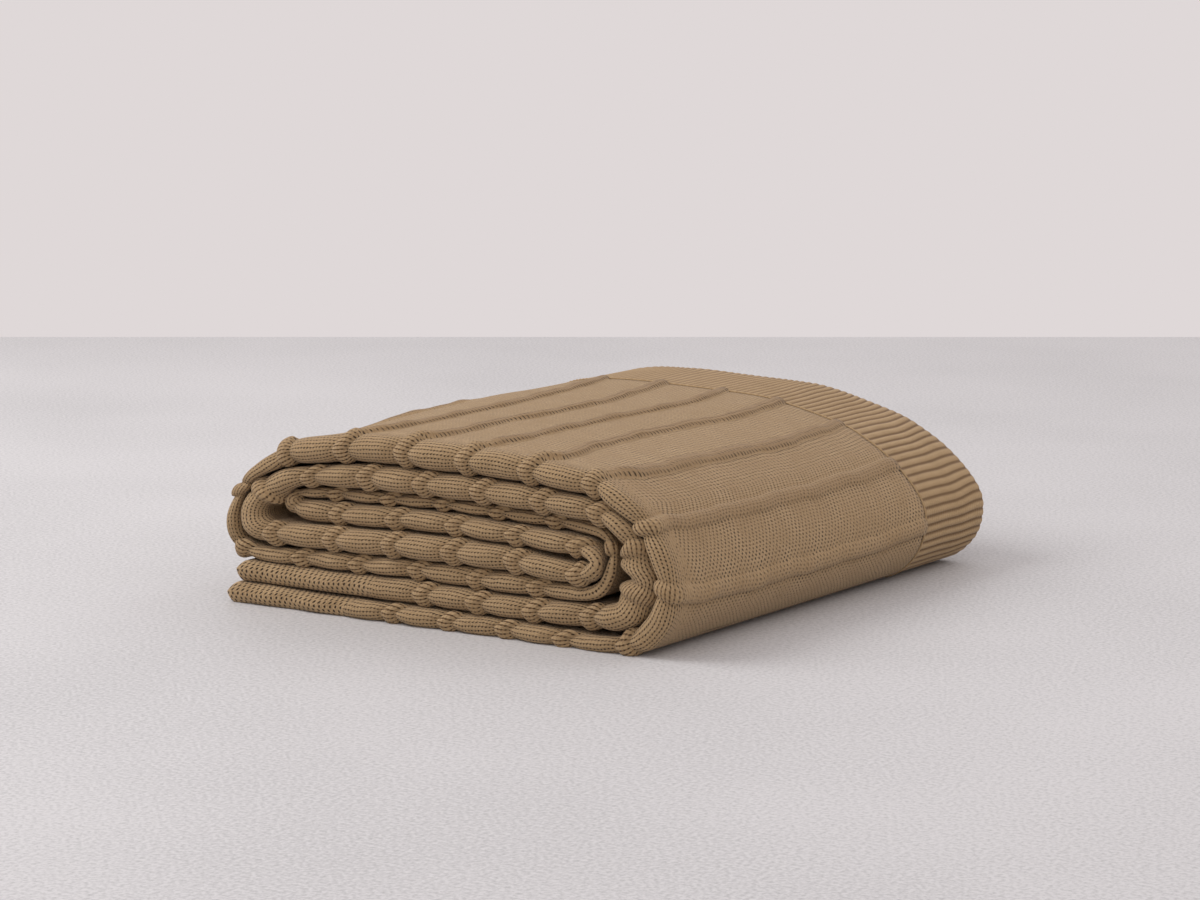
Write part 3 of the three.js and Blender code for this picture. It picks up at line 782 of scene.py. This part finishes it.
# The doubled panel
panel = {
    "weltHalf": 5.0,
    "weltPower": 0.6,  # below 1 makes the welt's section fuller than a parabola
    "creases": (0.4, 1.0, 0.12, 0.2),  # gap to a welt, reach, depth on its left and on its right
    "creaseFlat": 0.5,  # share of that depth on the cloth's faces
    "weltOpen": 2.7,  # height on the heap's outside
    "weltFront": 0.9,  # how much higher it stands just behind the front fold
    "weltFrontLimits": (-115, -170),
    "weltPressed": 0.35,  # height between the layers
    "weltNose": 2.9,  # height round the front fold
    "weltWaves": ((0.14, 9, 13), (0.08, 4.1, 5)),  # share, length in depth and along the run
    "ringStart": (0, 30),  # degrees round the front fold over which a welt grows to its full height
    "ringOpen": (12, 62),  # the same where the left face lies open, as a low welt
    "ringEnd": (150, 180),
    "lean": 7.5,  # how far to the right the upper end of a welt lies on the front fold
    "tail": 3.0,  # and its lower end
    "leanPower": 1.5,
    "bunch": 6.0,  # how far the cloth bunches up inside the tight left fold of the second layer
    "bunchReach": 8.0,
    "bunchPower": 0.7,
    "pillow": 1.7,  # how far the cloth swells between two welts
    "pillowReach": (4, 18),
    "pinch": 1.2,  # and how far it is drawn in at a welt
    "pinchReach": (3, 12),
    "plump": 1.2,  # how much further the cloth swells where it turns back on itself
    "plumpEase": (6, 10),  # how far that reaches out of a fold and into it
    "plumpTurn": (90, 126),  # degrees round the front fold from which an outer fold swells
    "sway": ({"height": 0.7, "length": 11, "drift": 2, "driftLength": 37},  # front fold, in depth
             {"height": 0.4, "length": 5.3}),
    "sag": ({"height": 0.45, "length": 13, "start": 1},  # and in height
            {"height": 0.25, "length": 6.1}),
    "mossEnds": (102, 92),
    "mossEdge": 1,
    "mossLift": 0.5,
    "mossBulge": 0.35,  # how much fuller the front fold is in moss stitch
    "blunt": 0.5,  # share by which the front fold's rounding gets shallower at the cloth's ends
    "bluntReach": (2, 18),
    "seamDip": 0.3,
    "seamReach": 3.0,
    "openEdge": 0.3,  # how open the left face is where it stops counting as hidden
    "openRows": 72,
    "crowd": 0.6,  # how much closer together they lie near the front fold
    "hiddenRows": 7,
    "noseRows": 27,
    "innerRows": 5,
    "fineStep": 1.0,  # steps of the run: near a welt, on the heap's outside, in a fold, elsewhere
    "fineReach": 7,  # near a welt is nearer than this
    "outsideStep": 2.0,
    "foldStep": 1.6,
    "step": 2.9,
    "bendReach": (16, -2),  # how far behind the front fold the cloth counts as bent
    "foot": (0.6, 1.6),  # gap to the welt and reach of the wider holes at its right foot
    # painted shade on a welt is lighter down the heap's right side than on its top
    "paler": 0.7,  # how much less dark a welt is down the heap's right side than on its top
    "palerFrom": (1975, 2030),
}

# The cloth of the top has shifted along itself between the front and the band, so that its welts
# don't run straight back. Depths from front to back, and for each welt from the first how far it
# lies past its place.
shifts = {
    "firstWelt": 1689.3,
    "reach": (45, 40),  # the shift fades out so far before the first welt and after the last
    "ease": 4,
    "waves": ((0.5, 11, 2.1), (0.3, 4.7, 1.3)),  # height, length, and start from welt to welt
    "waveLimits": (-178, -160),
    "depths": (-178, -169, -150, -120, -90, -60, -30, 0, 30, 60, 90, 118),
    "past": [
        (0, 0, 0, 0, 0, 0, 0, 0, 0, 0, 0, 0),
        (0, -5, -9, -7, 0, 6, 8, 7, 5, 4, 2, 0),
        (3.5, 11.2, 17.2, 18.2, 18.2, 18.2, 18.2, 17.2, 15.2, 13.2, 9.2, 2.2),
        (3.5, 11.1, 14.1, 12.6, 11.6, 15.1, 16.6, 17.6, 17.1, 13.1, 9.1, 5.6),
        (3.5, 9, 10.5, 11.5, 10, 11.5, 11, 13.5, 15.5, 15, 11.5, 6),
        (3.5, 12.8, 12.8, 6.8, 6.1, 5.8, 6, 7.8, 9.8, 9.3, 6.8, 3.3),
        (2.5, 5.6, 9.6, 9.6, 9.6, 9.6, 10.3, 11.1, 10.6, 8.6, 6.6, 3.6),
        (1, 0, 2, 3, 3, 3, 3, 3, 2, 1.5, 0, 0),
        (0, 1, 3, 4, 4, 4, 4, 4, 4, 3, 2, 1),
        (0, 0.5, 1.5, 2, 2, 2, 2, 2, 2, 1.5, 1, 0.5),
    ],
}


# Shift of the cloth along itself: for each welt its row of the table read at this depth, eased and
# a little wavy, times a weight that falls in a straight line from 1 at the welt to 0 at its
# neighbours
def shiftAt(distance, y):
    first = np.argmin(np.abs(welts - shifts["firstWelt"]))
    places = welts[first:first + len(shifts["past"])]
    before, after = shifts["reach"]
    posts = np.concatenate([[places[0] - before], places, [places[-1] + after]])
    total = np.zeros(y.shape)
    for i, past in enumerate(shifts["past"]):
        weight = np.interp(distance, posts, np.eye(len(posts))[i + 1])
        waves = sum(wave(y, height, length, turn * i) for height, length, turn in shifts["waves"])
        steps = (-shifts["ease"], 0, shifts["ease"])
        eased = sum(np.interp(y + step, shifts["depths"], past) for step in steps) / len(steps)
        total += weight * (eased + waves * smooth(*shifts["waveLimits"], y))
    return total


def foldness(distance):  # 1 within a fold, easing to 0 in the layers at both its ends
    out, into = panel["plumpEase"]
    return sum(
        smooth(start - out, start + into, distance) * (1 - smooth(end - into, end + out, distance))
        for start, end in foldSpans)


# Cross section of a welt: a round tube with a crease at each foot, the one on its right the deeper.
# The tube is a parabola over the welt's width raised to a power, and each crease a bell
def weltProfile(d):
    half = panel["weltHalf"]
    tube = np.maximum(0, 1 - (d / half) ** 2) ** panel["weltPower"]
    gap, reach, leftDepth, rightDepth = panel["creases"]
    return tube, rightDepth * hump(d, half + gap, reach) + leftDepth * hump(d, -half - gap, reach)


# Shift along the run that carries both ends of a welt to the right: a power of how squarely the
# cloth faces up, and less of it where the cloth faces down
def leanOf(up, facing):
    upper = panel["lean"] * np.maximum(0, up * facing) ** panel["leanPower"]
    return up * (upper + panel["tail"] * np.maximum(0, -up * facing) ** panel["leanPower"])


def panelStep(s):  # distance from one station to the next
    base = np.where(inFold(s), panel["foldStep"], panel["step"])
    base = np.where((s > outside[0]) & (s < outside[1]), panel["outsideStep"], base)
    return np.where(np.abs(fromWelt(s)) < panel["fineReach"], panel["fineStep"], base)


# Faces of the panel: the left face keeps all its rows where it lies open and has a few elsewhere, a
# row of larger faces joins both kinds, and one face closes each end
def panelFaces(count, rows, leftCount, isOpen):
    fewLeft = np.unique(np.round(np.linspace(0, leftCount - 1, panel["hiddenRows"])).astype(int))
    few = np.concatenate([fewLeft, np.arange(leftCount, rows)])
    shown = np.flatnonzero(isOpen)
    firstOpen, lastOpen = shown[0], shown[-1]
    hidden = np.concatenate([np.arange(0, firstOpen - 1), np.arange(lastOpen + 1, count - 1)])
    faces = [ringFaces(np.arange(firstOpen, lastOpen), rows, np.arange(rows)),
             ringFaces(hidden, rows, few)]
    for low, openLow in ((firstOpen - 1, False), (lastOpen, True)):
        high = low + 1
        for a, b in zip(few, np.roll(few, -1)):
            between = np.arange(a, b + 1) if b > a else np.array([a, b])
            if openLow:
                corners = [*(low * rows + between), high * rows + b, high * rows + a]
            else:
                corners = [low * rows + a, low * rows + b, *(high * rows + between[::-1])]
            faces.append(np.array(corners)[None, :])
    return faces + [few[::-1][None, :], ((count - 1) * rows + few)[None, :]]


# The panel is a section carried along the run. The section goes forward over the left face, round
# the front fold in a half ellipse, back over the right face and forward and back again inside, one
# ply further in. The welts' tube, the cloth's swell between them and slow waves lift its points
# square to the surface, and lean and shift carry the welts along the run.
def makePanel(material):
    s = stationsBy(panelStep)[:, None]
    here = sectionAt(s[:, 0])
    up = here["across"][:, 1:]  # 1 where the left face is on top, -1 where the right face is
    thick, front, seam, shown = (here[key][:, None] for key in ("thick", "front", "seam", "open"))
    seam = seam - cloth["seamGap"]
    nose = cloth["front"] - front
    blunt = panel["blunt"] * (1 - smooth(*panel["bluntReach"], np.minimum(s, runLength - s)))
    depth = cloth["noseShare"] * thick * (1 - blunt)
    start = nose + depth
    hidden = 1 - smooth(0, panel["openEdge"], shown)
    d = fromWelt(s)
    welt, creases = weltProfile(d)
    edge = panel["mossEdge"]
    plainStart, plainEnd = panel["mossEnds"][0], runLength - panel["mossEnds"][1]
    mossy = 1 - smooth(plainStart - edge, plainStart + edge, s)
    mossy = mossy + smooth(plainEnd - edge, plainEnd + edge, s)
    inTurn = panel["plump"] * foldness(s)
    swell = panel["pillow"] * smooth(*panel["pillowReach"], np.abs(d))
    swell = swell - panel["pinch"] * (1 - smooth(*panel["pinchReach"], np.abs(d)))
    swell = swell * (1 - mossy) + panel["mossLift"] * mossy + inTurn * (shown <= 0)
    weltFace = panel["weltPressed"] + (panel["weltOpen"] - panel["weltPressed"]) * shown
    bunched = tightFold[0] + folds[1]["welts"][0] * (tightFold[1] - tightFold[0])
    bunch = panel["bunch"] * hump(s, bunched, panel["bunchReach"])

    # left face, from the seam to the front fold
    place = np.linspace(0, 1, panel["openRows"])[None, :-1]
    faceShare = place * (1 + panel["crowd"] - panel["crowd"] * place)
    y1 = seam + (start - seam) * faceShare
    near = smooth(cloth["rest"], start, y1)
    waves = sum(wave(y1, height, length, s / runwise)
                for height, length, runwise in panel["weltWaves"])
    dip = panel["seamDip"] * shown * hump(y1, seam, panel["seamReach"])
    shift = shiftAt(s, y1) * (1 - hidden) + leanOf(up, 1) * hidden * near
    high = weltFace + panel["weltFront"] * shown * smooth(*panel["weltFrontLimits"], y1)
    high = high * (welt - panel["creaseFlat"] * creases)
    high = high * np.maximum(shown, near) * (1 + shown * waves)
    left = clothPoints(s + shift, y1, onLeftFace, high + bunch * near - dip)

    # front fold
    turn = np.radians(np.linspace(0, 180, panel["noseRows"]))[None, :]
    starts, openStarts, stops, swells = (
        np.radians(panel[key]) for key in ("ringStart", "ringOpen", "ringEnd", "plumpTurn"))
    growth = smooth(*starts, turn) * hidden + smooth(*openStarts, turn) * (1 - hidden)
    growth = growth * (1 - smooth(*stops, turn))
    face = np.where(turn <= np.pi / 2, weltFace + panel["weltFront"] * shown, panel["weltPressed"])
    high = (welt - creases) * (face + (panel["weltNose"] - face) * growth) + swell * np.sin(turn)
    high = high + inTurn * (shown > 0) * smooth(*swells, turn) * np.sin(turn)
    high = high + bunch * np.maximum(0, np.cos(turn)) ** panel["bunchPower"]
    sway = sum(wave(s, **row) for row in panel["sway"])
    sag = sum(wave(s, **row) for row in panel["sag"])
    bulge = np.sin(turn) ** (1 - panel["mossBulge"] * mossy)
    y2 = nose + depth * (1 - bulge) - (high + sway * np.sin(turn)) * np.sin(turn)
    fading = np.maximum(0, np.cos(turn)) ** panel["leanPower"]
    shift = shiftAt(s, start + 0 * y2) * (1 - hidden) * fading
    shift = shift + leanOf(up, np.cos(turn)) * np.where(turn < np.pi / 2, hidden, 1)
    lift = high * np.cos(turn) + sag * np.sin(turn) ** 2
    nosePoints = clothPoints(s + shift, y2, lambda t: t * (1 - np.cos(turn)) / 2, lift)

    # right face, and back inside
    y3 = start + (seam - start) * np.linspace(0, 1, panel["hiddenRows"])[None, 1:]
    near = smooth(cloth["rest"], start, y3)
    lift = -panel["weltPressed"] * welt * near
    right = clothPoints(s + leanOf(up, -1) * near, y3, onRightFace, lift)
    y4 = start + (seam - start) * np.linspace(1, 0, panel["innerRows"])[None, :]
    innerRight = clothPoints(s + 0 * y4, y4, lambda t: t - plyOf(t), 0 * y4)
    y5 = nose + plyOf(thick)
    crease = clothPoints(s + 0 * y5, y5, lambda t: t / 2, 0 * y5)
    y6 = y4[:, ::-1]
    innerLeft = clothPoints(s + shiftAt(s, y6) * (1 - hidden), y6, plyOf, 0 * y6)
    points = np.concatenate([left, nosePoints, right, innerRight, crease, innerLeft], 1)

    # map: along the run, and across the cloth from the front fold's crest
    arc = np.hypot(depth * np.cos(turn), thick / 2 * np.sin(turn))
    along = np.cumsum(np.gradient(turn[0]) * arc, 1)
    along = along - along[:, panel["noseRows"] // 2][:, None]
    first, last = along[:, :1], along[:, -1:]
    across = np.concatenate([first - (y1 - start), along, last + (y3 - start), last + (y4 - start),
                             0 * y5, first - (y6 - start)], 1)
    uv = np.stack([s + 0 * across, across], -1)

    # marks for the material: bent cloth, welts, moss stitch, a welt's right foot, welts round the
    # front fold, and painted shade on the welts of the heap's outside
    after, before = panel["bendReach"]
    bentLeft, bentRight = (smooth(start + after, start + before, y) for y in (y1, y3))
    bend = np.concatenate([bentLeft, 1 + 0 * y2, bentRight, 0 * y4, 0 * y5, 0 * y6], 1)
    ring = np.concatenate([0 * y1, welt * growth, 0 * y3, 0 * y4, 0 * y5, 0 * y6], 1)
    gap, reach = panel["foot"]
    foot = hump(d, panel["weltHalf"] + gap, reach) * shown
    # painted shade on the open welts away from the bends, less of it down the heap's right side
    ridgeShade = welt * shown * (1 - bend) * (1 - panel["paler"] * smooth(*panel["palerFrom"], s))
    marks = {"bend": bend, "welt": welt + 0 * across, "moss": mossy + 0 * across,
             "foot": foot + 0 * across, "ring": ring, "ridgeShade": ridgeShade}
    faces = panelFaces(len(s), points.shape[1], y1.shape[1], shown[:, 0] > 0)
    return makePiece("knitPanel", points.reshape(-1, 3), faces, uv.reshape(-1, 2), marks, material)


# The ribbed bands, sewn to the panel's long edges with a chain of linking stitches
bands = {
    "pitch": 5.2,
    "columns": 8,  # for each rib
    "ridgePower": 0.6,  # below 1 makes a rib broad and round and its groove narrow
    "relief": 0.75,
    "reliefTop": 0.7,
    "reliefOpen": 1.4,
    "reliefShare": 0.1,  # the most of the cloth's thickness
    "drawn": (1800, 1960),  # the ribs lie pressed flat at the top's left and stand up from here on
    # the grooves' painted shade is fainter where the ribs lie pressed flat
    "flattened": 0.6,  # how faint the grooves are where the ribs lie pressed flat
    "meanGroove": 0.5,
    "root": 0.025,  # share of the width over which the ribs rise from the seam
    "rim": (0.85, 1, 0.5),  # where they get lower toward the free edge, and by what share
    "edgeDip": 0.9,  # how uneven the free edge is
    "edgeWave": {"height": 1, "length": 17, "drift": 2, "driftLength": 41},
    "wander": 2.0,  # how far the ribs stray at the free edge
    "wanderWaves": ({"height": 1, "length": 23, "drift": 3, "driftLength": 71},
                    {"height": 0.35, "length": 7}),
    "wanderTurn": 4,
    "ripple": {"height": 0.55, "length": 60, "drift": 1.6, "driftLength": 31},
    "rippleTurn": 8.5,
    "rippleFrom": (0.15, 0.7),
    "outerRows": 11,
    "firstRow": 0.03,  # share of the width at which the second of them lies, close behind the seam
    "innerRows": 4,
    "edgeRows": 3,
    "link": 2.6,
    "linkRadius": 0.85,
    "linkWaist": 0.55,  # share of the radius between two stitches
    "linkColumns": 5,
    "linkSides": 5,
    "linkMap": (-2, 0.4),  # the chain's place across the map, beside the band, and a side's width
}


# The chain runs along the seam: a circle carried along it, whose radius swells with a cosine at
# each stitch
def chainPoints(onLeft):
    count = int(round(runLength / bands["link"])) * bands["linkColumns"] + 1
    s = np.linspace(0, runLength, count)[:, None]
    seam = (sectionAt(s[:, 0])["seam"] - cloth["seamGap"] / 2)[:, None]
    waist = bands["linkWaist"]
    radius = bands["linkRadius"] * (waist + (1 - waist) * np.abs(np.cos(np.pi * s / bands["link"])))
    turn = np.linspace(0, 2 * np.pi, bands["linkSides"] + 1)[None, :-1] * (1 if onLeft else -1)
    y = seam - radius * np.sin(turn)
    lift = radius * np.cos(turn)
    if onLeft:
        return s, clothPoints(s + 0 * y, y, onLeftFace, lift)
    return s, clothPoints(s + 0 * y, y, onRightFace, -lift)


# A band is one ply behind the seam, carried along the run: its outer face goes back to the free
# edge, round it in a half circle and forward again inside. A raised cosine makes the ribs, which
# drift along the run in slow waves that grow toward the free edge.
def makeBand(name, onLeft, material):
    count = int(round(runLength / bands["pitch"])) * bands["columns"] + 1
    s = np.linspace(0, runLength, count)[:, None]
    here = sectionAt(s[:, 0])
    thick, seam, back, shown = (here[key][:, None] for key in ("thick", "seam", "back", "open"))
    ply = plyOf(thick)
    ridge = (0.5 + 0.5 * np.cos(2 * np.pi * s / bands["pitch"])) ** bands["ridgePower"]
    relief = bands["relief"]
    faint = np.ones(s.shape)
    if onLeft:
        drawn = smooth(*bands["drawn"], s)
        top = bands["reliefTop"] + (bands["reliefOpen"] - bands["reliefTop"]) * drawn
        relief = relief + (top - relief) * shown
        faint = 1 - (1 - bands["flattened"]) * (1 - drawn) * shown
    relief = np.minimum(relief, bands["reliefShare"] * thick)

    # rows: outer face, free edge, inner face
    laterRows = np.linspace(0, 1, bands["outerRows"] - 1)[1:]
    outerShare = np.concatenate([[0, bands["firstRow"]], laterRows])[None, :]
    innerShare = np.linspace(1, 0, bands["innerRows"])[None, :]
    edgeTurn = np.linspace(0, np.pi, bands["edgeRows"] + 2)[None, 1:-1]
    share = np.concatenate([outerShare, 1 + 0 * edgeTurn, innerShare], 1)
    y = seam + share * (back - seam - ply / 2)
    y[:, bands["outerRows"]:-bands["innerRows"]] += ply / 2 * np.sin(edgeTurn)
    y = y + bands["edgeDip"] * share ** 3 * (wave(s, **bands["edgeWave"]) - 1)
    depth = np.concatenate([0 * outerShare, (1 - np.cos(edgeTurn)) / 2, 0 * innerShare + 1], 1)
    rooted = smooth(0, bands["root"], share)
    rimStart, rimEnd, lower = bands["rim"]
    lift = relief * (ridge - 1) * rooted * (1 - lower * smooth(rimStart, rimEnd, share))
    long, short = bands["wanderWaves"]
    wander = wave(s, **long) + wave(s, start=bands["wanderTurn"] * share, **short)
    wander = bands["wander"] * share ** 2 * wander
    ripple = wave(s, start=bands["rippleTurn"] * share, **bands["ripple"])
    wander = wander + ripple * smooth(*bands["rippleFrom"], share)
    place = np.clip(s + wander, 0, runLength)
    if onLeft:
        points = clothPoints(place, y, lambda t: depth * plyOf(t), lift)
    else:
        points = clothPoints(place, y, lambda t: t - depth * plyOf(t), -lift)
    uv = np.stack([s + 0 * y, y - seam], -1)
    # crest mark: the stitches' lean, and where the grooves get painted shade
    crest = 1 - ((1 - ridge) * faint + bands["meanGroove"] * (1 - faint)) * rooted
    crest[:, -bands["innerRows"]:] = 1 - ridge
    rows = points.shape[1]
    ring = np.arange(rows)
    faces = [ringFaces(np.arange(count - 1), rows, ring), ring[::-1][None, :],
             ((count - 1) * rows + ring)[None, :]]
    if not onLeft:
        faces = [f[:, ::-1] for f in faces]

    # the chain follows the band in the same mesh
    chainPlace, chain = chainPoints(onLeft)
    sides = bands["linkSides"]
    around = np.arange(sides)
    last = (len(chain) - 1) * sides
    links = [ringFaces(np.arange(len(chain) - 1), sides, around), around[::-1][None, :],
             (last + around)[None, :]]
    faces += [f + count * rows for f in links]
    points = np.concatenate([points.reshape(-1, 3), chain.reshape(-1, 3)])
    strip, width = bands["linkMap"]
    chainUv = np.stack([chainPlace + 0 * around, strip + 0 * chainPlace + width * around], -1)
    uv = np.concatenate([uv.reshape(-1, 2), chainUv.reshape(-1, 2)])
    crest = np.concatenate([crest.ravel(), np.ones(len(chain) * sides)])
    return makePiece(name, points, faces, uv, {"crest": crest}, material)


makeCamera()
floor = makeFloor()
makeLights()
jerseyCloth = jerseyMaterial()
ribCloth = ribMaterial()
knitPanel = makePanel(jerseyCloth)
outerBand = makeBand("ribBandOuter", True, ribCloth)
innerBand = makeBand("ribBandInner", False, ribCloth)
for piece, node, slotName in ((knitPanel, "knit_panel", "panel_knit"),
                              (outerBand, "rib_band_outer", "band_knit"),
                              (innerBand, "rib_band_inner", "band_knit")):
    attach(piece, "root")
    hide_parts(node)
